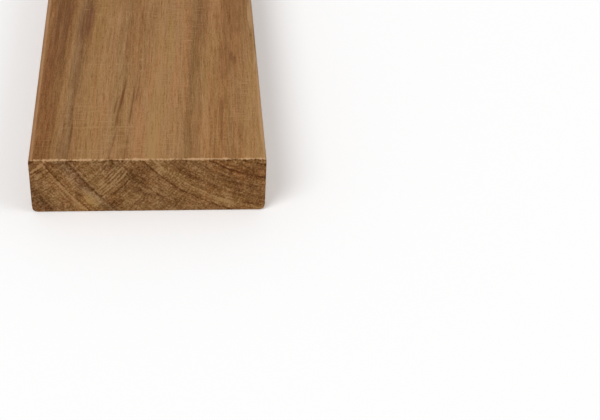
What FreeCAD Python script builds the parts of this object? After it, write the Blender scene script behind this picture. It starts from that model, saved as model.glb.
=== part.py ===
import FreeCAD, Part
import math
import os

# Decking board: one length of planed hardwood, lying flat on its underside.
# Its long edges are eased, the upper two less than the lower two, and its
# ends are sawn square.
# X runs across the width, Y along the length and Z up through the thickness.
# The origin is the middle of the underside.

# Driving dimensions in millimetres
board_length = 1800.0
board_width = 90.0
board_thickness = 25.0
upper_edge_radius = 1.5
lower_edge_radius = 2.5
end_arris = 0.5

# Places worked out from the driving dimensions
near_end_y = -board_length / 2
upper_arc_x = board_width / 2 - upper_edge_radius
upper_arc_z = board_thickness - upper_edge_radius
lower_arc_x = board_width / 2 - lower_edge_radius
lower_arc_z = lower_edge_radius


def arc_point(centre, radius, degrees):
    """Point of an eased edge, in the plane of the near end."""
    angle = math.radians(degrees)
    across = centre[0] + radius * math.cos(angle)
    up = centre[1] + radius * math.sin(angle)
    return FreeCAD.Vector(across, near_end_y, up)


def eased_edge(centre, radius, start_degrees):
    """Quarter arc that rounds one corner of the section."""
    start, middle, end = [
        arc_point(centre, radius, start_degrees + turn) for turn in (0, 45, 90)
    ]
    return Part.Arc(start, middle, end).toShape()


def board_section():
    """Section of the board: four flat faces joined by four eased edges."""
    arcs = [
        eased_edge((lower_arc_x, lower_arc_z), lower_edge_radius, -90),
        eased_edge((upper_arc_x, upper_arc_z), upper_edge_radius, 0),
        eased_edge((-upper_arc_x, upper_arc_z), upper_edge_radius, 90),
        eased_edge((-lower_arc_x, lower_arc_z), lower_edge_radius, 180),
    ]
    outline = []
    for arc, next_arc in zip(arcs, arcs[1:] + arcs[:1]):
        flat = Part.LineSegment(arc.lastVertex().Point, next_arc.firstVertex().Point)
        outline += [arc, flat.toShape()]
    return Part.Face(Part.Wire(outline))


def decking_board():
    """The whole board, with the sharp arrises of both sawn ends taken off."""
    plank = board_section().extrude(FreeCAD.Vector(0, board_length, 0))
    # An edge of an end face has no reach along the board, and a long edge has it all
    end_edges = [edge for edge in plank.Edges if edge.BoundBox.YLength < end_arris]
    return plank.makeChamfer(end_arris, end_edges)


os.makedirs("parts", exist_ok=True)
decking_board().exportStep("parts/board.step")
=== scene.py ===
"""One decking board of planed hardwood, dressed in the shared frame, in a plain pale studio."""

import logging
import math
from collections.abc import Callable, Iterable
from dataclasses import dataclass, field
from enum import Enum

import bmesh
import bpy
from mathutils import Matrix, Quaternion, Vector


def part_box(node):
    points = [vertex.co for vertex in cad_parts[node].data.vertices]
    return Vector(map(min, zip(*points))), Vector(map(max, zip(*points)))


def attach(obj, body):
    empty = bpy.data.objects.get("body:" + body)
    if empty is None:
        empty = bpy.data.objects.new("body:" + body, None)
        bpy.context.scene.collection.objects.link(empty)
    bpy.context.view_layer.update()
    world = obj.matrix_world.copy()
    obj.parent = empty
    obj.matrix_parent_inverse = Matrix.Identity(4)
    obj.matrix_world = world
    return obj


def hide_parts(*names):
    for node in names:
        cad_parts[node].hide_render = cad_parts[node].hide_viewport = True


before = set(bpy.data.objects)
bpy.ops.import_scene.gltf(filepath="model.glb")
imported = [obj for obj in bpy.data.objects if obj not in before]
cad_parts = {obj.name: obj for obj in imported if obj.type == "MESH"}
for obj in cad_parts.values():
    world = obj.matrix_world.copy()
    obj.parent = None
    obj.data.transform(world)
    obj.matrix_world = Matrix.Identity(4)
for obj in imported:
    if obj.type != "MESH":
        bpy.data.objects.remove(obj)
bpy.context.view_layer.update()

log = logging.getLogger("decking_board")

MM = 0.001
Socket = bpy.types.NodeSocket
Value = Socket | float
Pair = tuple[float, float]
Triple = tuple[float, float, float]
Colour = Triple
Shades = tuple[tuple[float, Colour], ...]
Face = bmesh.types.BMFace | bpy.types.MeshPolygon
FaceTest = Callable[[Face], bool]
EdgeTest = Callable[[bmesh.types.BMEdge], bool]
# Inputs of the effects that are drawn out along the fibres
FIBRE_INPUTS = {"Fibre Place": "Vector", "Width": "Float", "Length": "Float"}


class Cast(Enum):
    """Colour casts of the wood, as factors of red, green and blue."""

    PLAIN = (1.0, 1.0, 1.0)
    WARM = (1.035, 0.982, 0.93)
    SMOKY = (0.94, 0.985, 1.13)
    MOSSY = (0.967, 0.998, 1.01)
    STRAW = (0.997, 1.005, 0.935)


class Zone(Enum):
    """Parts of the board's skin that carry a relief of their own."""

    SAWN_ENDS = "sawn_ends"
    END_ARRISES = "end_arrises"
    LONG_FACES = "long_faces"
    EASED_EDGES = "eased_edges"


class NodeSheet:
    """Adds and links the nodes of one material, world or node group."""

    def __init__(self, tree: bpy.types.NodeTree) -> None:
        """Works on the given tree."""
        self.tree = tree

    def add(self, kind: str, *values: object, **settings: object) -> bpy.types.Node:
        """Adds a node.

        Args:
            kind: Blender's name for the node's type.
            values: what its inputs get, in order.
            settings: properties to set on the node.

        Returns:
            The new node.
        """
        node = self.tree.nodes.new(kind)
        for name, setting in settings.items():
            setattr(node, name, setting)
        for socket, value in zip(node.inputs, values):
            self.feed(socket, value)
        return node

    def feed(self, socket: Socket, value: object) -> None:
        """Gives an input its value.

        Args:
            socket: the input.
            value: a socket to link it to, or else a value to set.
        """
        if isinstance(value, Socket):
            self.tree.links.new(value, socket)
        else:
            socket.default_value = value

    def math(self, operation: str, *values: Value) -> Socket:
        """Adds one step of arithmetic on the values."""
        return self.add("ShaderNodeMath", *values, operation=operation).outputs[0]

    def times(self, first: Value, second: Value) -> Socket:
        """Multiplies two values."""
        return self.math("MULTIPLY", first, second)

    def apart(self, first: Value, second: Value) -> Socket:
        """Measures how far two values are from each other."""
        return self.math("ABSOLUTE", self.math("SUBTRACT", first, second))

    def weighted(self, base: float, parts: Iterable[tuple[Value, float]]) -> Socket:
        """Sums values, each times its weight, onto a base.

        Args:
            base: the number to start from.
            parts: pairs of a value and its weight.

        Returns:
            The sum.
        """
        total: Value = base
        for value, weight in parts:
            total = self.math("MULTIPLY_ADD", value, weight, total)
        return total

    def vector(self, operation: str, first: object, second: object) -> Socket:
        """Adds one step of vector arithmetic."""
        return self.add("ShaderNodeVectorMath", first, second, operation=operation).outputs["Vector"]

    def length(self, vector: Socket) -> Socket:
        """Measures a vector."""
        return self.add("ShaderNodeVectorMath", vector, operation="LENGTH").outputs["Value"]

    def combine(self, across: Value, along: Value, up: Value) -> Socket:
        """Makes a vector of three values."""
        return self.add("ShaderNodeCombineXYZ", across, along, up).outputs[0]

    def split(self, vector: Socket) -> tuple[Socket, ...]:
        """Takes a vector apart into its three values."""
        return tuple(self.add("ShaderNodeSeparateXYZ", vector).outputs)

    def ease(self, value: Value, start: Value, end: Value) -> Socket:
        """Goes smoothly from 0 at start to 1 at end, or back where end is the lower."""
        node = self.add("ShaderNodeMapRange", value, start, end, interpolation_type="SMOOTHSTEP")
        return node.outputs[0]

    def drawn_out(self, place: Socket, width: Value, length: Value) -> Socket:
        """Scales a place for a pattern that is so wide across and up, and so long along the board."""
        return self.vector("DIVIDE", place, self.combine(width, length, width))

    def noise(
        self, place: Socket, width: Value = 1.0, length: Value = 1.0, detail: float = 2.0
    ) -> Socket:
        """Cloudy noise.

        Args:
            place: vector to read the noise at.
            width: size of its patches across and up.
            length: size of its patches along the board.
            detail: octaves of finer noise.

        Returns:
            The noise, mostly between 0.3 and 0.7.
        """
        node = self.add("ShaderNodeTexNoise", self.drawn_out(place, width, length))
        node.inputs["Scale"].default_value = 1.0
        node.inputs["Detail"].default_value = detail
        return node.outputs["Fac"]

    def ramp(
        self, value: Value, stops: Iterable[tuple[float, object]], smooth: bool = False
    ) -> Socket:
        """Reads a colour or a grey from a row of stops.

        Args:
            value: where to read, from 0 to 1.
            stops: pairs of a rising position and its colour or grey.
            smooth: whether the ramp eases from stop to stop.

        Returns:
            The colour.
        """
        node = self.add("ShaderNodeValToRGB", value)
        node.color_ramp.interpolation = "EASE" if smooth else "LINEAR"
        elements = node.color_ramp.elements
        for number, (position, shade) in enumerate(stops):
            element = elements[number] if number < 2 else elements.new(position)
            element.position = position
            rgb = shade if isinstance(shade, tuple) else (shade,) * 3
            element.color = (*rgb, 1.0)
        return node.outputs[0]

    def blend(self, amount: Value, first: object, second: object, way: str = "MIX") -> Socket:
        """Mixes two colours.

        Args:
            amount: share of the second colour.
            first: colour at an amount of 0.
            second: colour at an amount of 1.
            way: the Mix node's blend type.

        Returns:
            The mixed colour.
        """
        node = self.add("ShaderNodeMix", amount, data_type="RGBA", blend_type=way)
        colours = [socket for socket in node.inputs if socket.type == "RGBA"]
        for socket, colour in zip(colours, (first, second)):
            self.feed(socket, (*colour, 1.0) if isinstance(colour, tuple) else colour)
        return next(socket for socket in node.outputs if socket.type == "RGBA")

    def effect(self, group: bpy.types.NodeTree, *inputs: object) -> bpy.types.NodeOutputs:
        """Puts in a node group with its own inputs, in order, and returns its outputs."""
        return self.add("ShaderNodeGroup", *inputs, node_tree=group).outputs


class SharedEffect(NodeSheet):
    """The sheet of a node group that several finishes share."""

    def __init__(self, name: str, inputs: dict[str, str], outputs: dict[str, str]) -> None:
        """Starts the group with named sockets.

        Args:
            name: the group's name.
            inputs: socket types by input name.
            outputs: socket types by output name.
        """
        super().__init__(bpy.data.node_groups.new(name, "ShaderNodeTree"))
        for way, sockets in (("INPUT", inputs), ("OUTPUT", outputs)):
            for label, kind in sockets.items():
                self.tree.interface.new_socket(label, in_out=way, socket_type=f"NodeSocket{kind}")
        self.inputs = self.add("NodeGroupInput").outputs[: len(inputs)]

    def give(self, *outputs: Socket) -> bpy.types.NodeTree:
        """Ends the group with its outputs, in order, and returns it."""
        self.add("NodeGroupOutput", *outputs)
        return self.tree


class FinishSheet(NodeSheet):
    """The sheet of one material."""

    def __init__(self, name: str) -> None:
        """Starts the material.

        Args:
            name: the material's name.
        """
        self.material = bpy.data.materials.new(name)
        self.material.use_nodes = True
        super().__init__(self.material.node_tree)

    def dress(self, **inputs: object) -> bpy.types.Material:
        """Gives the shader its inputs.

        Args:
            inputs: what they get, by name, with _ for each space.

        Returns:
            The finished material.
        """
        shader = self.tree.nodes["Principled BSDF"]
        for name, value in inputs.items():
            self.feed(shader.inputs[name.replace("_", " ")], value)
        return self.material


@dataclass(frozen=True)
class GrowthBand:
    """One broad band of the wood: its distance from the pith, how dark it is and its cast."""

    radius_mm: float
    darkness: float
    cast: Cast = Cast.PLAIN


@dataclass(frozen=True)
class GrowthRing:
    """One thin ring: its distance from the pith, how dark it is, or pale below 0, and its width."""

    radius_mm: float
    darkness: float
    fade_mm: float


@dataclass(frozen=True)
class StainStreak:
    """One dark streak that follows the fibres, where it shows on the walking face.

    It lies so far across at its start, and runs from its start to its end, measured from
    the near end. Its end lies further to the right by its lean.
    """

    across_mm: float
    start_mm: float
    end_mm: float
    half_width_mm: float
    darkness: float
    lean_mm: float = 0.0


@dataclass(frozen=True)
class KnifeMark:
    """One pale line that the planer's knives left across the walking face."""

    from_end_mm: float
    middle_mm: float
    half_length_mm: float
    paleness: float


@dataclass(frozen=True)
class Sway:
    """The pith's place across or above the board: where it starts, and the slow wave it follows."""

    start_mm: float
    swing_mm: float
    wave_mm: float

    def at(self, from_end_mm: float) -> float:
        """The pith's place at a distance from the near end."""
        return self.start_mm + self.swing_mm * math.sin(math.tau * from_end_mm / self.wave_mm)

    def off_pith(self, sheet: NodeSheet, value: Socket, from_end: Socket) -> Socket:
        """Measures a point from the pith, in nodes.

        Args:
            sheet: the sheet to work on.
            value: the point's place.
            from_end: its distance from the near end.

        Returns:
            Its place from the pith.
        """
        turn = sheet.math("SINE", sheet.times(from_end, math.tau / self.wave_mm))
        return sheet.weighted(-self.start_mm, [(turn, -self.swing_mm), (value, 1.0)])


@dataclass(frozen=True)
class Wobble:
    """Noise that pushes the growth rings in and out, by its size and strength."""

    width_mm: float
    length_mm: float
    detail: float
    strength: float


@dataclass(frozen=True)
class Stem:
    """The tree that the board was sawn from: its pith beside the board, its bands and its rings."""

    across: Sway = Sway(56.0, 9.7, 2600.0)
    above: Sway = Sway(72.0, 9.9, 2000.0)
    wobbles: tuple[Wobble, ...] = (Wobble(32.0, 340.0, 0.0, 2.0), Wobble(3.0, 45.0, 1.0, 0.7))
    least_radius_mm: float = 30.0
    most_radius_mm: float = 140.0
    ring_rise_mm: float = 0.3
    bands: tuple[GrowthBand, ...] = tuple(GrowthBand(*row) for row in (
        (38.0, 0.55), (44.0, 0.30, Cast.STRAW), (49.5, 0.24, Cast.STRAW), (53.5, 0.44),
        (55.2, 0.48, Cast.WARM), (58.0, 0.30, Cast.WARM), (60.7, 0.37),
        (62.9, 0.50, Cast.MOSSY), (65.5, 0.32), (72.5, 0.15, Cast.STRAW), (76.5, 0.27),
        (80.0, 0.34), (84.5, 0.36, Cast.MOSSY), (88.0, 0.30), (95.0, 0.31, Cast.STRAW),
        (97.6, 0.44), (99.2, 0.60, Cast.SMOKY), (101.2, 0.52, Cast.SMOKY), (102.8, 0.42),
        (104.8, 0.74, Cast.WARM), (109.2, 0.80, Cast.WARM), (114.5, 0.52),
        (119.0, 0.66, Cast.SMOKY), (125.0, 0.46, Cast.WARM),
    ))
    rings: tuple[GrowthRing, ...] = tuple(GrowthRing(*row) for row in (
        (51.5, 0.6, 1.0), (57.5, 0.85, 1.1), (67.5, 0.4, 1.0), (71.5, -0.35, 2.4),
        (75.0, 0.8, 0.9), (82.5, 0.5, 0.9), (98.6, 1.0, 1.1), (106.35, 1.0, 0.5),
        (107.4, -0.38, 0.9), (117.0, 0.4, 1.6),
    ))

    def radii_of(self, streak: StainStreak, up_mm: float) -> Pair:
        """Finds how far from the pith a streak lies.

        Args:
            streak: the streak.
            up_mm: height of the face that it shows on.

        Returns:
            The distances of its start and its end.
        """
        middle = (streak.start_mm + streak.end_mm) / 2
        across, up = streak.across_mm - self.across.at(middle), up_mm - self.above.at(middle)
        return math.hypot(across, up), math.hypot(across + streak.lean_mm, up)

    def share(self, radius_mm: float) -> float:
        """Place of a radius between the least and the most, from 0 to 1."""
        return (radius_mm - self.least_radius_mm) / (self.most_radius_mm - self.least_radius_mm)

    def position(self, half_length_mm: float) -> bpy.types.NodeTree:
        """Group that turns a place in the board into a place in the stem.

        Args:
            half_length_mm: half of the board's length.

        Returns:
            The group, with the place from the pith and the distance from it, all in millimetres.
        """
        sheet = SharedEffect(
            "stem_position", {"Place": "Vector"}, {"Fibre Place": "Vector", "Radius": "Float"}
        )
        across, along, up = sheet.split(sheet.inputs[0])
        from_end = sheet.math("ADD", along, half_length_mm)
        across = self.across.off_pith(sheet, across, from_end)
        up = self.above.off_pith(sheet, up, from_end)
        fibre_place = sheet.combine(across, along, up)
        noise_middle, parts = 0.0, []
        for wobble in self.wobbles:
            noise = sheet.noise(fibre_place, wobble.width_mm, wobble.length_mm, wobble.detail)
            parts.append((noise, wobble.strength))
            noise_middle += 0.5 * wobble.strength
        parts.append((sheet.length(sheet.combine(across, 0.0, up)), 1.0))
        return sheet.give(fibre_place, sheet.weighted(-noise_middle, parts))

    def growth(self) -> bpy.types.NodeTree:
        """Group that reads the wood at a distance from the pith.

        Returns:
            The group, with the broad bands' darkness, the thin rings' darkness and the cast.
        """
        sheet = SharedEffect(
            "growth", {"Radius": "Float"}, {"Band": "Float", "Ring": "Float", "Cast": "Color"}
        )
        share = sheet.weighted(self.share(0.0), [(sheet.inputs[0], self.share(1.0) - self.share(0.0))])
        rings: list[Pair] = []
        for ring in self.rings:
            rise, fade = ring.radius_mm - self.ring_rise_mm, ring.radius_mm + ring.fade_mm
            for radius, darkness in ((rise, 0.0), (ring.radius_mm, ring.darkness), (fade, 0.0)):
                rings.append((self.share(radius), 0.5 + 0.5 * darkness))
        ring_shade = sheet.math("SUBTRACT", sheet.ramp(share, rings), 0.5)
        bands = [(self.share(band.radius_mm), band) for band in self.bands]
        return sheet.give(
            sheet.ramp(share, [(at, band.darkness) for at, band in bands], smooth=True),
            sheet.times(ring_shade, 2.0),
            sheet.ramp(share, [(at, band.cast.value) for at, band in bands], smooth=True),
        )


@dataclass
class WoodEffects:
    """The node groups that both finishes of the wood share. Their places are in millimetres.

    The corner is the board's upper far right one, from the middle of its underside.
    """

    stem: Stem
    corner_mm: Vector
    # pale colour of torn fibres, also painted on as a highlight along the rubbed edges and arrises
    torn_and_highlit: Colour = (0.580, 0.355, 0.185)

    def __post_init__(self) -> None:
        """Builds every group once."""
        self.stem_position = self.stem.position(self.corner_mm.y)
        self.growth = self.stem.growth()
        self.fibres = self.fibre_streaks()
        self.tinge = self.strand_tinge()
        self.vessels = self.open_vessels()
        self.worn_and_highlit_arris = self.splintered_arris()

    def fibre_streaks(self) -> bpy.types.NodeTree:
        """Group of streaky noise about 0, so wide, and so long along the fibres.

        Returns:
            The group.
        """
        sheet = SharedEffect("fibre_streaks", FIBRE_INPUTS, {"Streak": "Float"})
        return sheet.give(sheet.math("SUBTRACT", sheet.noise(*sheet.inputs), 0.5))

    def strand_tinge(self) -> bpy.types.NodeTree:
        """Group that tints a colour strand by strand, from warm to straw.

        Returns:
            The group.
        """
        sheet = SharedEffect("strand_tinge", {"Colour": "Color", **FIBRE_INPUTS}, {"Colour": "Color"})
        colour, *strand = sheet.inputs
        casts = ((0.38, Cast.WARM.value), (0.50, Cast.PLAIN.value), (0.62, Cast.STRAW.value))
        tint = sheet.ramp(sheet.noise(*strand), casts)
        return sheet.give(sheet.blend(1.0, colour, tint, "MULTIPLY"))

    def open_vessels(self) -> bpy.types.NodeTree:
        """Group of open pores: dots on a sawn end and dashes on a planed face.

        Returns:
            The group.
        """
        sheet = SharedEffect("vessels", {**FIBRE_INPUTS, "Bore": "Float"}, {"Pore": "Float"})
        *grid, bore = sheet.inputs
        cells = sheet.add("ShaderNodeTexVoronoi", sheet.drawn_out(*grid))
        cells.inputs["Scale"].default_value = 1.0
        return sheet.give(sheet.ease(cells.outputs["Distance"], bore, 0.0))

    def splintered_arris(self) -> bpy.types.NodeTree:
        """Group that marks the worn arris of a sawn end, pale with torn fibres and a painted
        highlight: its top, its foot, and flecks elsewhere.

        Returns:
            The group, with 1 where the arris is pale with torn fibres and a painted highlight, broken
            up fibre by fibre, and 1 in the painted shade of the dark notches just under the top arris.
        """
        sheet = SharedEffect(
            "worn_and_highlit_arris",
            {"Place": "Vector", "Reach": "Float", "Flecks": "Float"},
            {"Worn And Highlit": "Float", "Undercut Shade": "Float"},
        )
        place, reach, flecks = sheet.inputs
        _, along, up = sheet.split(place)
        inset = sheet.math("SUBTRACT", self.corner_mm.y, sheet.math("ABSOLUTE", along))
        below = sheet.math("SUBTRACT", self.corner_mm.z, up)
        frayed = sheet.noise(place, 0.9, 5.0)
        patchy = sheet.noise(place, 6.0, 40.0)
        notches = sheet.noise(place, 3.0, 40.0, detail=1.0)
        spread = sheet.weighted(-1.15, [(frayed, 2.1), (patchy, 2.1)])
        reach = sheet.times(reach, spread)
        on_end = sheet.ease(inset, reach, sheet.times(reach, 0.4))
        # the pale lines along the top arris and the foot are torn fibres with a painted highlight
        drop = sheet.times(spread, 0.72)
        worn_and_highlit_top = sheet.ease(below, drop, sheet.times(drop, 0.55))
        worn_and_highlit_foot = sheet.ease(up, drop, sheet.times(drop, 0.3))
        fleck = sheet.math("MAXIMUM", sheet.ease(frayed, 0.60, 0.70), worn_and_highlit_foot)
        torn_and_highlit = sheet.math("MAXIMUM", worn_and_highlit_top, sheet.times(fleck, flecks))
        # painted shade: dark notches just under the top arris
        notch_shade = sheet.times(sheet.ease(notches, 0.50, 0.66), sheet.ease(below, 2.3, 0.9))
        return sheet.give(sheet.times(on_end, torn_and_highlit), notch_shade)


class WoodSheet(FinishSheet):
    """The sheet of one finish of the wood, on object coordinates in millimetres."""

    def __init__(self, name: str, effects: WoodEffects) -> None:
        """Starts the material and finds places in the board and in the stem.

        Args:
            name: the material's name.
            effects: the shared node groups.
        """
        super().__init__(name)
        self.effects = effects
        metres = self.add("ShaderNodeTexCoord").outputs["Object"]
        self.place = self.vector("MULTIPLY", metres, (1 / MM,) * 3)
        self.across, along, self.up = self.split(self.place)
        self.from_end = self.math("ADD", along, effects.corner_mm.y)
        self.fibre_place, self.radius = self.effect(effects.stem_position, self.place)

    def streak(self, width: float, length: float) -> Socket:
        """Streaky noise about 0, of that width and of that length along the fibres."""
        return self.effect(self.effects.fibres, self.fibre_place, width, length)[0]

    def pores(self, spacing: float, length: float, bore: float) -> Socket:
        """Open pores that far apart and that long, with a bore in shares of the spacing."""
        return self.effect(self.effects.vessels, self.fibre_place, spacing, length, bore)[0]

    def arris(self, reach: float, flecks: float) -> tuple[Socket, ...]:
        """Torn fibres and a painted highlight along a sawn end's arris, within that reach, and the
        painted shade of the notches under them.
        """
        return tuple(self.effect(self.effects.worn_and_highlit_arris, self.place, reach, flecks))

    def frayed_radius(self, width: float, length: float, amount: float) -> Socket:
        """Distance from the pith, frayed that much by streaks of that width and length."""
        return self.weighted(0.0, [(self.streak(width, length), amount), (self.radius, 1.0)])

    def wood(self, darkness: Socket, shades: Shades, cast: Socket, strands: Iterable[Pair]) -> Socket:
        """Colours the wood.

        Args:
            darkness: how dark it is, from 0 to 1.
            shades: its colours at rising darkness.
            cast: the growth's colour cast.
            strands: width and length of each layer of strands that tinge it.

        Returns:
            The colour.
        """
        colour = self.blend(1.0, self.ramp(darkness, shades), cast, "MULTIPLY")
        for width, length in strands:
            colour = self.effect(self.effects.tinge, colour, self.fibre_place, width, length)[0]
        return colour

    def torn_and_highlit(self, amount: Socket, share: float, colour: Socket) -> Socket:
        """Lays a share of an amount of pale torn fibres, partly a painted highlight, over a colour."""
        return self.blend(self.times(amount, share), colour, self.effects.torn_and_highlit)

    def bump(self, strength: float, depth_mm: float, height: Socket) -> Socket:
        """Turns a height into a normal.

        Args:
            strength: the share of the bump that shows.
            depth_mm: its depth at a height of 1.
            height: the height.

        Returns:
            The normal.
        """
        node = self.add("ShaderNodeBump", strength, depth_mm * MM)
        self.feed(node.inputs["Height"], height)
        return node.outputs[0]


@dataclass(frozen=True)
class PlanedHardwood:
    """Planed long faces: golden brown, streaked along the fibres, dull and unfinished.

    A pattern's pair is its width and its length along the fibres. A fraying adds its amount,
    and the pores their bore. The face darkens between two distances from the near end.
    """

    effects: WoodEffects
    shades: Shades = (
        (0.0, (0.366, 0.198, 0.083)),
        (0.4, (0.270, 0.131, 0.0425)),
        (1.0, (0.134, 0.051, 0.007)),
    )
    stain_shade: Colour = (0.150, 0.046, 0.012)
    specular: float = 0.2
    bump_strength: float = 0.5
    bump_depth_mm: float = 0.15
    # share of the pale rubbed wear and painted highlight along the upper long edges
    rubbed_and_highlit_share: float = 0.34
    torn_and_highlit_share: float = 0.85
    arris_reach_mm: float = 1.0
    arris_flecks: float = 0.3
    fine_mm: Pair = (0.36, 12.0)
    thread_mm: Pair = (0.9, 60.0)
    tick_mm: Pair = (0.36, 1.3)
    stripe_mm: Pair = (2.6, 140.0)
    broad_stripe_mm: Pair = (9.0, 260.0)
    ring_gaps_mm: Pair = (2.4, 40.0)
    knife_gaps_mm: Pair = (1.3, 5.0)
    strands_mm: tuple[Pair, ...] = ((1.7, 70.0), (8.0, 90.0))
    band_fraying: Triple = (1.1, 70.0, 2.2)
    stain_fraying: Triple = (0.6, 22.0, 0.9)
    pores: Triple = (0.8, 7.0, 0.34)
    darkening_mm: Pair = (40.0, 120.0)
    stains: tuple[StainStreak, ...] = tuple(StainStreak(*row) for row in (
        (-26.8, 77.0, 123.0, 2.8, 0.20), (-31.1, 81.0, 123.0, 1.8, 0.09),
        (-28.9, 81.0, 109.0, 0.40, 0.36), (-27.4, 86.0, 112.0, 0.36, 0.30),
        (-26.0, 86.0, 118.0, 0.46, 0.52), (-24.6, 91.0, 116.0, 0.36, 0.26),
        (-29.0, 35.0, 86.0, 0.9, 0.13), (-32.3, -12.0, 43.0, 2.0, 0.06),
        (-29.9, -7.0, 27.0, 0.35, 0.34), (-36.1, 51.0, 130.0, 1.3, 0.28),
        (-40.1, 33.0, 144.0, 1.8, 0.20), (-38.6, -20.0, 58.0, 1.1, 0.09),
        (-9.5, 51.0, 111.0, 0.40, 0.24), (-12.5, 17.0, 58.0, 0.44, 0.58, 2.9),
        (-11.0, 33.0, 51.0, 0.30, 0.30, 1.2), (-12.3, 20.0, 30.0, 0.32, 0.30, 0.7),
        (-13.5, 28.0, 45.0, 0.38, 0.40, 1.0), (-7.4, 19.0, 53.0, 0.38, 0.44, 1.4),
        (-6.5, 36.0, 52.0, 0.30, 0.30, 0.6), (-4.9, 37.0, 51.0, 0.34, 0.40, 0.5),
        (-15.4, -8.0, 23.0, 0.38, 0.30, 3.0), (-9.3, -8.0, 27.0, 0.34, 0.22, 1.7),
        (29.4, 25.0, 45.0, 0.60, 0.28), (28.4, 8.0, 31.0, 0.35, 0.36),
        (30.7, 50.0, 88.0, 1.3, 0.18), (34.1, 67.0, 77.0, 0.40, 0.40),
        (35.3, 65.0, 73.0, 0.30, 0.30), (36.1, 82.0, 133.0, 2.6, 0.14),
        (23.1, 84.0, 133.0, 2.4, 0.16), (8.2, 84.0, 171.0, 5.0, 0.09),
        (18.5, 34.0, 108.0, 1.4, 0.09, 1.6),
    ))
    knife_marks: tuple[KnifeMark, ...] = tuple(KnifeMark(*row) for row in (
        (66.2, -18.3, 12.0, 1.1), (72.6, -17.2, 6.0, 0.8), (62.1, -16.8, 5.0, 0.6),
        (35.4, -21.5, 7.0, 0.6), (32.4, -17.6, 6.5, 0.8), (29.8, -16.6, 6.0, 0.7),
        (25.0, -17.6, 6.0, 1.3), (21.4, -14.2, 12.0, 1.5), (20.9, -27.6, 8.0, 1.0),
        (8.0, -13.8, 6.0, 0.7), (6.0, -23.8, 9.0, 0.7),
    ))
    # the thin pale line on the left upper edge is a painted highlight on partly rubbed wood
    worn_and_highlit_line_mm: float = 1.3
    mark_size_mm: Pair = (6.0, 0.5)
    marked_patch_mm: Pair = (26.0, 50.0)

    def material(self) -> bpy.types.Material:
        """Builds the finish.

        Returns:
            The material.
        """
        sheet = WoodSheet("planed_hardwood", self.effects)
        growth = sheet.effect(self.effects.growth, sheet.frayed_radius(*self.band_fraying))
        broken = sheet.ease(sheet.streak(*self.ring_gaps_mm), -0.06, 0.10)
        fine = sheet.streak(*self.fine_mm)
        thread = sheet.streak(*self.thread_mm)
        pore = sheet.pores(*self.pores)
        stain = self.stained(sheet)
        mark = self.planer_marks(sheet)
        darkness = sheet.weighted(
            -0.12,
            [
                (growth["Band"], 1.05),
                (sheet.times(growth["Ring"], broken), 0.30),
                (sheet.ease(sheet.from_end, *self.darkening_mm), 0.10),
                (stain, 0.6),
                (sheet.streak(*self.broad_stripe_mm), 0.45),
                (sheet.streak(*self.stripe_mm), 0.42),
                (thread, 0.65),
                (fine, 1.05),
                (sheet.streak(*self.tick_mm), 1.0),
                (pore, 0.24),
                (mark, -0.55),
                (self.knife_lines(sheet), -0.30),
            ],
        )
        body = sheet.wood(darkness, self.shades, growth["Cast"], self.strands_mm)
        body = sheet.blend(stain, body, self.stain_shade)
        # paints the pale rubbed wear and highlight along the upper long edges
        body = sheet.torn_and_highlit(self.rubbed_edges(sheet, thread), self.rubbed_and_highlit_share, body)
        # torn fibres and painted highlight along the end arris
        worn_and_highlit, _ = sheet.arris(self.arris_reach_mm, self.arris_flecks)
        height = sheet.weighted(0.0, [(fine, 0.35), (thread, 0.25), (pore, -0.5), (mark, 0.3)])
        return sheet.dress(
            Base_Color=sheet.torn_and_highlit(worn_and_highlit, self.torn_and_highlit_share, body),
            Roughness=sheet.weighted(0.6, [(thread, 0.25), (pore, 0.2)]),
            Normal=sheet.bump(self.bump_strength, self.bump_depth_mm, height),
            Specular_IOR_Level=self.specular,
        )

    def stained(self, sheet: WoodSheet) -> Socket:
        """Sums the dark streaks.

        Args:
            sheet: the material's sheet.

        Returns:
            The streaks' darkness.
        """
        wavering = sheet.frayed_radius(*self.stain_fraying)
        parts = []
        for stain in self.stains:
            first, last = self.effects.stem.radii_of(stain, self.effects.corner_mm.z)
            length = stain.end_mm - stain.start_mm
            slope = (last - first) / length
            beside = sheet.weighted(
                slope * stain.start_mm - first, [(sheet.from_end, -slope), (wavering, 1.0)]
            )
            mask = sheet.ease(
                sheet.math("ABSOLUTE", beside), stain.half_width_mm * 1.3, stain.half_width_mm * 0.3
            )
            for tip, taper in ((stain.start_mm, length * 0.3), (stain.end_mm, length * -0.3)):
                mask = sheet.times(mask, sheet.ease(sheet.from_end, tip, tip + taper))
            parts.append((mask, stain.darkness))
        return sheet.weighted(0.0, parts)

    def rubbed_edges(self, sheet: WoodSheet, thread: Socket) -> Socket:
        """Paler wood along the upper long edges, rubbed wear with a painted highlight on it, the left
        one in a thin painted highlight line.

        Args:
            sheet: the material's sheet.
            thread: streaky noise that breaks the wear up.

        Returns:
            A mask of the wear and the painted highlight.
        """
        corner = self.effects.corner_mm
        beside = sheet.math("SUBTRACT", corner.x, sheet.math("ABSOLUTE", sheet.across))
        below = sheet.math("SUBTRACT", corner.z, sheet.up)
        patchy = sheet.noise(sheet.place, 20.0, 30.0, detail=1.0)
        reach = sheet.weighted(-1.6, [(thread, 4.0), (patchy, 3.0), (beside, 1.0), (below, 1.0)])
        rubbed_and_highlit = sheet.times(sheet.ease(reach, 2.2, 0.9), sheet.ease(sheet.across, -80.0, 30.0))
        # painted highlight: a thin pale line along the left upper edge, partly rubbed wear
        line = sheet.ease(sheet.apart(beside, self.worn_and_highlit_line_mm), 0.75, 0.2)
        for value, start, end in (
            (below, 0.9, 0.3), (sheet.across, 0.0, -40.0), (thread, -0.22, 0.02)
        ):
            line = sheet.times(line, sheet.ease(value, start, end))
        return sheet.math("MAXIMUM", rubbed_and_highlit, line)

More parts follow.
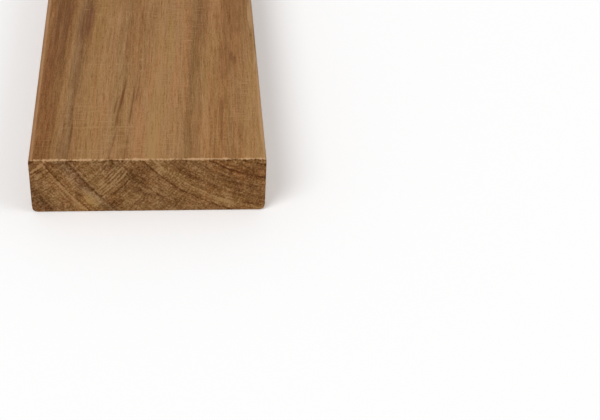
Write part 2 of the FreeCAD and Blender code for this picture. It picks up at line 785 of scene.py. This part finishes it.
    def planer_marks(self, sheet: WoodSheet) -> Socket:
        """Faint short marks that the planer's knives left across the grain, in patches.

        Args:
            sheet: the material's sheet.

        Returns:
            A mask of the marks.
        """
        marks = sheet.noise(sheet.place, *self.mark_size_mm, detail=1.0)
        patch = sheet.noise(sheet.place, *self.marked_patch_mm, detail=1.0)
        return sheet.times(sheet.ease(marks, 0.56, 0.70), sheet.ease(patch, 0.46, 0.60))

    def knife_lines(self, sheet: WoodSheet) -> Socket:
        """Sums the single lines across the walking face.

        Args:
            sheet: the material's sheet.

        Returns:
            The lines' paleness.
        """
        parts = []
        for mark in self.knife_marks:
            crest = sheet.ease(sheet.apart(sheet.from_end, mark.from_end_mm), 0.5, 0.1)
            off_middle = sheet.apart(sheet.across, mark.middle_mm)
            reach = sheet.ease(off_middle, mark.half_length_mm, mark.half_length_mm * 0.5)
            parts.append((sheet.times(crest, reach), mark.paleness))
        broken = sheet.ease(sheet.streak(*self.knife_gaps_mm), -0.16, 0.06)
        return sheet.times(sheet.weighted(0.0, parts), broken)


@dataclass(frozen=True)
class EndPatch:
    """A soft patch of a sawn end: its middle from the board's centre line and underside."""

    across_mm: float
    up_mm: float
    reach_mm: float
    strength: float


@dataclass(frozen=True)
class ScoreLine:
    """One arc that a tooth of the blade left, pale, or dark where its paleness is below 0."""

    radius_mm: float
    half_width_mm: float
    paleness: float


@dataclass(frozen=True)
class SawnEndGrain:
    """Sawn ends: darker open end grain, with rings, rays, pores and the arcs of the blade.

    The rings turn flat, and the wood warmer, from one place across the board to another.
    """

    effects: WoodEffects
    shades: Shades = (
        (0.0, (0.350, 0.206, 0.098)),
        (0.45, (0.206, 0.099, 0.035)),
        (1.0, (0.084, 0.029, 0.005)),
    )
    specular: float = 0.12
    bump_strength: float = 0.6
    bump_depth_mm: float = 0.25
    torn_and_highlit_share: float = 0.85
    arris_reach_mm: float = 0.5
    arris_flecks: float = 0.35
    fibre_length_mm: float = 30.0
    speckles_mm: tuple[float, float, float, float] = (8.0, 3.0, 1.5, 0.75)
    strands_mm: tuple[Pair, ...] = ((1.4, 40.0), (6.0, 40.0))
    band_fraying: Triple = (1.2, 30.0, 0.8)
    pores: Triple = (0.9, 20.0, 0.36)
    flat_rings_mm: Pair = (0.0, 30.0)
    warm_share: float = 0.7
    blade_across_mm: float = -95.0
    blade_above_mm: float = 86.0
    shaded: tuple[EndPatch, ...] = tuple(EndPatch(*row) for row in (
        (-41.5, 5.5, 8.0, 0.15), (-4.5, 17.5, 8.0, 0.36), (12.5, 20.0, 5.0, 0.16),
        (36.0, 16.0, 13.0, 0.24), (16.0, 12.0, 16.0, 0.09), (-14.0, 3.0, 5.0, 0.22),
        (-21.8, 5.5, 7.0, -0.46), (21.0, 7.5, 6.5, -0.10), (-33.0, 14.0, 14.0, -0.20),
        (-28.5, 2.0, 6.5, -0.24), (-13.0, 12.5, 5.0, -0.20), (-4.0, 9.5, 5.0, 0.18),
        (37.5, 1.5, 7.5, 0.32),
    ))
    straw: Colour = (1.03, 1.10, 0.80)
    straw_patch: EndPatch = EndPatch(-22.6, 5.0, 7.5, 0.65)
    faded_rings: tuple[EndPatch, ...] = (
        EndPatch(-28.5, 8.0, 9.0, 1.0),
        EndPatch(-15.5, 4.0, 6.5, 0.6),
        EndPatch(-38.6, 22.6, 5.0, 0.65),
    )
    scored_patches: tuple[EndPatch, ...] = (
        EndPatch(-13.3, 14.8, 10.0, 1.0),
        EndPatch(-41.0, 21.0, 6.0, 1.0),
    )
    scores: tuple[ScoreLine, ...] = tuple(ScoreLine(*row) for row in (
        (83.9, 0.50, 1.5), (104.5, 0.30, 0.3), (105.9, 0.28, 0.5), (106.5, 0.26, -0.5),
        (107.1, 0.42, 1.0), (109.6, 0.44, 0.9), (111.0, 0.32, 0.3), (112.5, 0.40, -0.7),
    ))

    def material(self) -> bpy.types.Material:
        """Builds the finish.

        Returns:
            The material.
        """
        sheet = WoodSheet("sawn_end_grain", self.effects)
        coarse, mottle, grainy, fine = (
            sheet.streak(width, self.fibre_length_mm) for width in self.speckles_mm
        )
        growth = sheet.effect(self.effects.growth, sheet.frayed_radius(*self.band_fraying))
        pore = sheet.pores(*self.pores)
        ray, layer = self.rays_and_layers(sheet)
        flat_ringed = sheet.ease(sheet.across, *self.flat_rings_mm)
        score, hatch = self.saw_arcs(sheet)
        faded = self.patches(sheet, self.faded_rings)
        faded_ring = sheet.times(sheet.math("ABSOLUTE", growth["Ring"]), faded)
        # torn fibres with a painted highlight along the arris, and painted shade in the notches under
        # it
        worn_and_highlit, undercut_shade = sheet.arris(self.arris_reach_mm, self.arris_flecks)
        darkness = sheet.weighted(
            0.29,
            [
                (growth["Band"], 0.34),
                (growth["Ring"], 0.62),
                (faded_ring, -0.93),
                (coarse, 0.5),
                (mottle, 0.8),
                (grainy, 0.9),
                (fine, 1.6),
                (pore, 0.35),
                (ray, -0.4),
                (layer, 0.8),
                (sheet.times(layer, flat_ringed), 0.35),
                (hatch, -1.4),
                (sheet.times(hatch, flat_ringed), 0.9),
                (score, -0.46),
                # painted shade under the top arris
                (undercut_shade, 0.30),
                (self.patches(sheet, self.shaded), 1.0),
            ],
        )
        body = sheet.wood(darkness, self.shades, growth["Cast"], self.strands_mm)
        for amount, cast in (
            (sheet.times(flat_ringed, self.warm_share), Cast.WARM.value),
            (self.patches(sheet, (self.straw_patch,)), self.straw),
        ):
            body = sheet.blend(amount, body, cast, "MULTIPLY")
        height = sheet.weighted(0.0, [(fine, 0.6), (mottle, 0.5), (pore, -0.6), (hatch, 0.5)])
        return sheet.dress(
            Base_Color=sheet.torn_and_highlit(worn_and_highlit, self.torn_and_highlit_share, body),
            Roughness=sheet.weighted(0.85, [(fine, 0.2)]),
            Normal=sheet.bump(self.bump_strength, self.bump_depth_mm, height),
            Specular_IOR_Level=self.specular,
        )

    def rays_and_layers(self, sheet: WoodSheet) -> tuple[Socket, Socket]:
        """Fine lines that run out from the pith, and fine layers round it.

        Args:
            sheet: the material's sheet.

        Returns:
            Noise about 0 drawn out along the rays, and the same along the rings.
        """
        across, _, up = sheet.split(sheet.fibre_place)
        bearing = sheet.math("ARCTAN2", up, across)
        ray, layer = (
            sheet.noise(
                sheet.combine(sheet.times(bearing, turns), 0.0, sheet.times(sheet.radius, steps)),
                detail=1.5,
            )
            for turns, steps in ((110.0, 1 / 6.0), (7.0, 1.15))
        )
        return sheet.math("SUBTRACT", ray, 0.5), sheet.math("SUBTRACT", layer, 0.5)

    def patches(self, sheet: WoodSheet, spots: Iterable[EndPatch]) -> Socket:
        """Sums soft round patches.

        Args:
            sheet: the material's sheet.
            spots: the patches.

        Returns:
            The patches' strengths, each falling to 0 at its reach.
        """
        flat = sheet.combine(sheet.across, 0.0, sheet.up)
        parts = []
        for spot in spots:
            offset = sheet.vector("SUBTRACT", flat, (spot.across_mm, 0.0, spot.up_mm))
            parts.append((sheet.ease(sheet.length(offset), spot.reach_mm, 0.0), spot.strength))
        return sheet.weighted(0.0, parts)

    def saw_arcs(self, sheet: WoodSheet) -> tuple[Socket, Socket]:
        """Arcs that the blade's teeth left.

        Args:
            sheet: the material's sheet.

        Returns:
            The few clear score lines, and fine hatching along the same arcs, about 0.
        """
        centre = (self.blade_across_mm, 0.0, self.blade_above_mm)
        offset = sheet.vector("SUBTRACT", sheet.place, centre)
        across, _, up = sheet.split(offset)
        wander = sheet.noise(offset, 9.0, 9.0, detail=1.0)
        straight = sheet.length(sheet.combine(across, 0.0, up))
        reach = sheet.weighted(-0.35, [(wander, 0.7), (straight, 1.0)])
        parts = []
        for line in self.scores:
            beside = sheet.apart(reach, line.radius_mm)
            crest = sheet.ease(beside, line.half_width_mm * 1.4, line.half_width_mm * 0.2)
            parts.append((crest, line.paleness))
        marked = sheet.ease(self.patches(sheet, self.scored_patches), 0.08, 0.40)
        turn = sheet.times(sheet.math("ARCTAN2", up, across), 13.0)
        strokes = sheet.combine(sheet.times(reach, 1.35), 0.0, turn)
        hatch = sheet.math("SUBTRACT", sheet.noise(strokes, detail=1.0), 0.5)
        shown = sheet.weighted(0.55, [(marked, 0.5)])
        return sheet.times(sheet.weighted(0.0, parts), marked), sheet.times(hatch, shown)


@dataclass(frozen=True)
class Relief:
    """A shallow pattern pressed into one zone of the skin.

    Its grain is the size of one unit of the pattern across, along and up, and its centre
    is where the pattern starts. A ringed pattern is arcs about the centre, or else cloudy.
    """

    name: str
    zone: Zone
    depth: float
    grain: Triple
    centre: Triple = (0.0, 0.0, 0.0)
    ringed: bool = False
    turbulence: float = 4.0

    def press(self, piece: bpy.types.Object) -> None:
        """Presses the pattern into the piece, inwards only.

        Args:
            piece: the object, with a vertex group named for each zone.
        """
        texture = bpy.data.textures.new(self.name, "WOOD" if self.ringed else "CLOUDS")
        texture.noise_scale = 1.0
        if self.ringed:
            texture.wood_type = "RINGNOISE"
            texture.turbulence = self.turbulence
        bpy.ops.object.select_all(action="DESELECT")
        bpy.ops.object.empty_add(location=self.centre)
        ruler = bpy.context.active_object
        ruler.scale = self.grain
        modifier = piece.modifiers.new(self.name, "DISPLACE")
        modifier.texture = texture
        modifier.texture_coords = "OBJECT"
        modifier.texture_coords_object = ruler
        modifier.vertex_group = self.zone.value
        modifier.mid_level = 1.0
        modifier.strength = self.depth
        bpy.context.view_layer.update()
        bpy.context.view_layer.objects.active = piece
        bpy.ops.object.modifier_apply(modifier=modifier.name)
        bpy.data.objects.remove(ruler)


@dataclass(frozen=True)
class Section:
    """Outline of the board's section: half its width, its height, and its eased edges."""

    half_width: float
    height: float
    upper_radius: float
    lower_radius: float

    def half_girth(self) -> float:
        """Length of the outline from the middle of the underside to the middle of the top."""
        return self.way_round(0.0, self.height)

    def way_round(self, across: float, up: float) -> float:
        """Measures along the outline from the middle of the underside.

        Args:
            across: distance of a point from the middle plane.
            up: height of the point, on the outline or just inside it.

        Returns:
            The way along the outline to that point.
        """
        lower_flat = self.half_width - self.lower_radius
        upper_flat = self.half_width - self.upper_radius
        side = self.height - self.upper_radius - self.lower_radius
        lower_turn = self.lower_radius * math.pi / 2
        upper_turn = self.upper_radius * math.pi / 2
        if up < self.lower_radius:
            if across <= lower_flat:
                return across
            angle = math.atan2(across - lower_flat, self.lower_radius - up)
            return lower_flat + self.lower_radius * angle
        above_lower = up - self.lower_radius
        if above_lower <= side:
            return lower_flat + lower_turn + above_lower
        if across > upper_flat:
            angle = math.atan2(above_lower - side, across - upper_flat)
            return lower_flat + lower_turn + side + self.upper_radius * angle
        return lower_flat + lower_turn + side + upper_turn + upper_flat - across

    def is_eased(self, across: float, up: float) -> bool:
        """True for a point on one of the four eased edges."""
        radius = self.upper_radius if up > self.height / 2 else self.lower_radius
        beside = across > self.half_width - radius
        return beside and not radius < up < self.height - radius


@dataclass(frozen=True)
class FlatSheet:
    """Layout of the board's skin on one square: the two halves above and both ends below."""

    gap: float = 0.008
    ends_height: float = 0.108

    def column(self, half: int, share: float) -> float:
        """Place across the square.

        Args:
            half: 0 for the near half of the board, 1 for the far half.
            share: place across that half's column, from 0 to 1.

        Returns:
            The u coordinate.
        """
        return (half + share) / 2 + self.gap * (0.5 - share)

    def long_row(self, share: float) -> float:
        """Place up the square from the board's middle, at 0, to its end, at 1."""
        start = self.ends_height + 1.5 * self.gap
        return start + share * (1.0 - self.gap / 2 - start)

    def end_row(self, share: float) -> float:
        """Place up the ends' strip, from 0 at the underside to 1 at the top."""
        return self.gap / 2 + share * self.ends_height


@dataclass
class DeckingBoard:
    """The board: eased long edges, square-sawn ends and the fine relief of both."""

    low: Vector
    high: Vector
    upper_radius: float = 1.5 * MM
    lower_radius: float = 2.5 * MM
    end_arris: float = 0.5 * MM
    upper_steps: int = 4
    lower_steps: int = 5
    arris_steps: int = 3
    cell: float = 0.5 * MM
    first_station: float = 0.8 * MM
    station_growth: float = 1.22
    longest_station: float = 25.0 * MM
    weld: float = 0.002 * MM
    end_lean: float = 0.5
    smooth_degrees: float = 35.0
    reliefs: tuple[Relief, ...] = (
        Relief("raised_grain", Zone.LONG_FACES, 0.07 * MM, (1.6 * MM, 90 * MM, 1.6 * MM)),
        Relief("rubbed_edges", Zone.EASED_EDGES, 0.16 * MM, (5 * MM, 60 * MM, 5 * MM)),
        Relief("torn_end_grain", Zone.SAWN_ENDS, 0.14 * MM, (1.5 * MM, 900 * MM, 1.5 * MM)),
        Relief(
            "saw_arcs", Zone.SAWN_ENDS, 0.08 * MM, (8.3 * MM, 9.0, 8.3 * MM),
            centre=(-95 * MM, 0.0, 86 * MM), ringed=True,
        ),
        Relief("splintered_arris", Zone.END_ARRISES, 0.24 * MM, (1.1 * MM, 3 * MM, 1.1 * MM)),
    )
    section: Section = field(init=False)
    piece: bpy.types.Object = field(init=False)

    def build(self) -> bpy.types.Object:
        """Models the board from one cube.

        Returns:
            The finished piece.
        """
        size = self.high - self.low
        self.section = Section(size.x / 2, size.z, self.upper_radius, self.lower_radius)
        self.start()
        self.ease_long_edges()
        self.round_end_arrises()
        self.cut_cells()
        self.cut_stations()
        bpy.ops.object.mode_set(mode="OBJECT")
        self.sort_faces()
        self.lay_flat()
        self.mark_zones()
        for relief in self.reliefs:
            relief.press(self.piece)
        self.piece.vertex_groups.clear()
        bpy.ops.object.select_all(action="DESELECT")
        self.piece.select_set(True)
        bpy.ops.object.shade_smooth_by_angle(angle=math.radians(self.smooth_degrees))
        return self.piece

    def start(self) -> None:
        """Adds the cube at its size and place, short of both ends' arrises."""
        bpy.ops.object.select_all(action="DESELECT")
        middle = (self.low + self.high) / 2
        size = self.high - self.low
        size.y -= 2 * self.end_arris
        bpy.ops.mesh.primitive_cube_add(size=1.0, location=middle, scale=size)
        bpy.ops.object.transform_apply(location=True, rotation=True, scale=True)
        self.piece = bpy.context.active_object
        self.piece.name = self.piece.data.name = "hardwood_board"
        while self.piece.data.uv_layers:
            self.piece.data.uv_layers.remove(self.piece.data.uv_layers[0])
        bpy.ops.object.mode_set(mode="EDIT")

    def pick(self, edges: EdgeTest | None = None, faces: FaceTest | None = None) -> None:
        """Selects the edges or faces that pass a test, in edit mode.

        Args:
            edges: test for an edge, where edges are wanted.
            faces: test for a face, where faces are wanted.
        """
        bpy.ops.mesh.select_mode(type="EDGE" if edges else "FACE")
        bpy.ops.mesh.select_all(action="DESELECT")
        mesh = bmesh.from_edit_mesh(self.piece.data)
        for element in mesh.edges if edges else mesh.faces:
            if (edges or faces)(element):
                element.select_set(True)
        mesh.select_flush_mode()
        bmesh.update_edit_mesh(self.piece.data)

    def eased(self) -> tuple[tuple[float, int, float, int], ...]:
        """Height, way out, radius and steps of the upper two long edges and of the lower two."""
        return (
            (self.high.z, 1, self.upper_radius, self.upper_steps),
            (self.low.z, -1, self.lower_radius, self.lower_steps),
        )

    def ease_long_edges(self) -> None:
        """Rounds the four long edges, the upper two less than the lower two."""
        for height, _, radius, steps in self.eased():
            self.pick(edges=lambda edge: runs_along(edge) and all(
                abs(vertex.co.z - height) < self.weld for vertex in edge.verts
            ))
            bpy.ops.mesh.bevel(offset=radius, offset_type="OFFSET", segments=steps, profile=0.5)

    def round_end_arrises(self) -> None:
        """Builds each end out to its full length in small insets round a quarter turn."""
        turns = [math.pi / 2 * step / self.arris_steps for step in range(self.arris_steps + 1)]
        for start, end in zip(turns, turns[1:]):
            self.pick(faces=is_end_face)
            bpy.ops.mesh.inset(
                thickness=self.end_arris * (math.cos(start) - math.cos(end)),
                depth=self.end_arris * (math.sin(end) - math.sin(start)),
            )

    def bisect(self, axis: int, at: float, faces: FaceTest | None = None) -> None:
        """Cuts the mesh along a plane.

        Args:
            axis: 0, 1 or 2 for a plane square to X, Y or Z.
            at: where the plane crosses that axis.
            faces: test for the faces to cut, or None for all.
        """
        if faces:
            self.pick(faces=faces)
        else:
            bpy.ops.mesh.select_all(action="SELECT")
        place, normal = Vector(), Vector()
        place[axis] = at
        normal[axis] = 1.0
        bpy.ops.mesh.bisect(plane_co=place, plane_no=normal, threshold=self.weld)

    def cut_cells(self) -> None:
        """Cuts the flats into narrow strips, and the ends' margins along the rounded corners."""
        lower_flat = self.high.x - self.lower_radius
        upper_flat = self.high.x - self.upper_radius
        for at in even_steps(-lower_flat, lower_flat, self.cell):
            self.bisect(0, at)
        for at in even_steps(lower_flat, upper_flat, self.cell)[1:]:
            self.bisect(0, at)
            self.bisect(0, -at)
        bottom, top = self.low.z + self.lower_radius, self.high.z - self.upper_radius
        for at in even_steps(bottom, top, self.cell):
            self.bisect(2, at)
        for height, out, radius, steps in self.eased():
            for step in range(1, steps):
                beyond = (radius - self.end_arris) * math.sin(math.pi / 2 * step / steps)
                across = self.high.x - radius + beyond
                for axis, at in ((0, across), (0, -across), (2, height + out * (beyond - radius))):
                    self.bisect(axis, at, is_end_face)

    def cut_stations(self) -> None:
        """Cuts the length into stations, close together at the ends and wide in the middle."""
        half = self.high.y
        distance, step, stations = self.end_arris, self.first_station, [0.0]
        while distance + step < half - step / 2:
            distance += step
            stations += [half - distance, distance - half]
            step = min(step * self.station_growth, self.longest_station)
        for at in stations:
            self.bisect(1, at)

    def sort_faces(self) -> None:
        """Gives the long faces the first finish, and the ends with their outer arrises the second."""
        for face in self.piece.data.polygons:
            face.material_index = int(abs(face.normal.y) > self.end_lean)

    def lay_flat(self) -> None:
        """Lays the skin out on one square, so that the finish can be stored as a picture."""
        mesh, sheet = self.piece.data, FlatSheet()
        layer = mesh.uv_layers.new(name="OFBake")
        round_the_arris = self.end_arris * math.pi / 2
        straight = self.high.y - self.end_arris
        half_girth = self.section.half_girth()
        width, height = 2 * self.section.half_width, self.section.height
        for face in mesh.polygons:
            half = int(face.center.y > 0)
            for loop in face.loop_indices:
                spot = mesh.vertices[mesh.loops[loop].vertex_index].co
                if is_end_face(face):
                    across = 0.5 + spot.x / width
                    flat = (sheet.column(half, across), sheet.end_row(spot.z / height))
                else:
                    way = self.section.way_round(abs(spot.x), spot.z)
                    if face.center.x < 0:
                        way = 2 * half_girth - way
                    turned = min(max((abs(spot.y) - straight) / self.end_arris, 0.0), 1.0)
                    run = min(abs(spot.y), straight) + self.end_arris * math.asin(turned)
                    share = run / (straight + round_the_arris)
                    flat = (sheet.column(half, way / (2 * half_girth)), sheet.long_row(share))
                layer.data[loop].uv = flat

    def mark_zones(self) -> None:
        """Puts each vertex in the group of each zone that it lies in."""
        straight = self.high.y - self.end_arris
        members: dict[Zone, list[int]] = {zone: [] for zone in Zone}
        for vertex in self.piece.data.vertices:
            across, along, up = abs(vertex.co.x), abs(vertex.co.y), vertex.co.z
            if along > self.high.y - self.weld:
                members[Zone.SAWN_ENDS].append(vertex.index)
            if along < straight + self.weld:
                members[Zone.LONG_FACES].append(vertex.index)
                if self.section.is_eased(across, up):
                    members[Zone.EASED_EDGES].append(vertex.index)
            inset = min(self.section.half_width - across, up, self.section.height - up)
            if along > straight - self.weld and inset < self.end_arris + self.weld:
                members[Zone.END_ARRISES].append(vertex.index)
        for zone, vertices in members.items():
            self.piece.vertex_groups.new(name=zone.value).add(vertices, 1.0, "REPLACE")


def even_steps(start: float, end: float, size: float) -> list[float]:
    """Divides a stretch into even steps.

    Args:
        start: the stretch's start.
        end: the stretch's end.
        size: the step's size, about.

    Returns:
        The places of the steps, both ends among them.
    """
    count = max(round((end - start) / size), 1)
    return [start + (end - start) * step / count for step in range(count + 1)]


def runs_along(edge: bmesh.types.BMEdge, least: float = 10.0 * MM) -> bool:
    """True for an edge that runs along the board for more than the least length."""
    return abs((edge.verts[0].co - edge.verts[1].co).y) > least


def is_end_face(face: Face, least: float = 0.99) -> bool:
    """True for a face that looks straight along the board, by the least share of its normal."""
    return abs(face.normal.y) > least


@dataclass
class Studio:
    """Pale floor, soft even lamps and the camera at the photographed angle."""

    lens_mm: float = 84.07
    eye_across: float = 10.0 * MM
    eye_before_end: float = 426.9 * MM
    eye_height: float = 341.8 * MM
    heading_degrees: float = 6.51
    dip_degrees: float = 38.52
    roll_degrees: float = 3.43
    floor_size: float = 30.0
    floor_shade: float = 0.95
    floor_glow: float = 0.10
    sky_strength: float = 0.5
    lamp_width_degrees: float = 32.0
    key_from: Triple = (-1.6, -1.6, 2.6)
    key_strength: float = 1.35
    fill_from: Triple = (2.3, -0.6, 2.2)
    fill_strength: float = 0.52

    def build(self, near_end: float) -> None:
        """Sets the stage round the board.

        Args:
            near_end: the near end's place along Y.
        """
        self.floor()
        self.sky()
        self.lamp("key_light", self.key_from, self.key_strength)
        self.lamp("fill_light", self.fill_from, self.fill_strength)
        self.camera(near_end)

    def floor(self) -> None:
        """Lays the pale floor under the board, lifted to white where the camera sees it."""
        bpy.ops.object.select_all(action="DESELECT")
        bpy.ops.mesh.primitive_plane_add(size=self.floor_size, location=(0.0, 0.0, 0.0))
        floor = bpy.context.active_object
        floor.name = "pale_floor"
        sheet = FinishSheet("pale_floor")
        material = sheet.dress(
            Base_Color=(*(self.floor_shade,) * 3, 1.0),
            Roughness=0.9,
            Specular_IOR_Level=0.0,
            Emission_Color=(1.0, 1.0, 1.0, 1.0),
            Emission_Strength=sheet.times(self.seen(sheet), self.floor_glow),
        )
        floor.data.materials.append(material)

    def seen(self, sheet: NodeSheet) -> Socket:
        """Reads 1 for a ray that shows in the picture, directly, in gloss or through glass."""
        path = sheet.add("ShaderNodeLightPath").outputs
        mirrored = sheet.math("MAXIMUM", path["Is Glossy Ray"], path["Is Transmission Ray"])
        return sheet.math("MAXIMUM", path["Is Camera Ray"], mirrored)

    def sky(self) -> None:
        """Lights the room evenly from all round, with a backdrop that shows white."""
        world = bpy.data.worlds.new("pale_room")
        bpy.context.scene.world = world
        world.use_nodes = True
        sheet = NodeSheet(world.node_tree)
        backdrop = world.node_tree.nodes["Background"]
        white = [(self.seen(sheet), 1.0 - self.sky_strength)]
        sheet.feed(backdrop.inputs["Strength"], sheet.weighted(self.sky_strength, white))
        backdrop.inputs["Color"].default_value = (1.0, 1.0, 1.0, 1.0)

    def lamp(self, name: str, towards: Triple, strength: float) -> None:
        """Sets a wide soft lamp so far away that it lights the whole floor alike.

        Args:
            name: the lamp's name.
            towards: the way from the board to the lamp.
            strength: its light on a surface that faces it, in watts a square metre.
        """
        light = bpy.data.lights.new(name, "SUN")
        light.energy = strength
        light.angle = math.radians(self.lamp_width_degrees)
        lamp = bpy.data.objects.new(name, light)
        bpy.context.scene.collection.objects.link(lamp)
        lamp.rotation_euler = (-Vector(towards)).to_track_quat("-Z", "Y").to_euler()

    def camera(self, near_end: float) -> None:
        """Stands the camera where the photograph was taken from."""
        heading, dip = math.radians(self.heading_degrees), math.radians(self.dip_degrees)
        level = math.cos(dip)
        ahead = Vector((level * math.sin(heading), level * math.cos(heading), -math.sin(dip)))
        lens = bpy.data.cameras.new("camera")
        lens.lens = self.lens_mm
        camera = bpy.data.objects.new("camera", lens)
        bpy.context.scene.collection.objects.link(camera)
        camera.location = (self.eye_across, near_end - self.eye_before_end, self.eye_height)
        turn = ahead.to_track_quat("-Z", "Y") @ Quaternion((0, 0, 1), math.radians(self.roll_degrees))
        camera.rotation_euler = turn.to_euler()
        bpy.context.scene.camera = camera


def main() -> None:
    """Builds the board, dresses it and sets the stage."""
    low, high = (Vector(corner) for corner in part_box("board"))
    piece = DeckingBoard(low, high).build()
    effects = WoodEffects(Stem(), high / MM)
    for finish in (PlanedHardwood(effects), SawnEndGrain(effects)):
        piece.data.materials.append(finish.material())
    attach(piece, "root")
    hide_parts("board")
    log.info("%s: %d faces", piece.name, len(piece.data.polygons))
    Studio().build(low.y)
    bpy.context.scene.view_settings.view_transform = "Standard"


if __name__ == "__main__":
    logging.basicConfig(level=logging.INFO, format="%(name)s %(message)s")
    main()
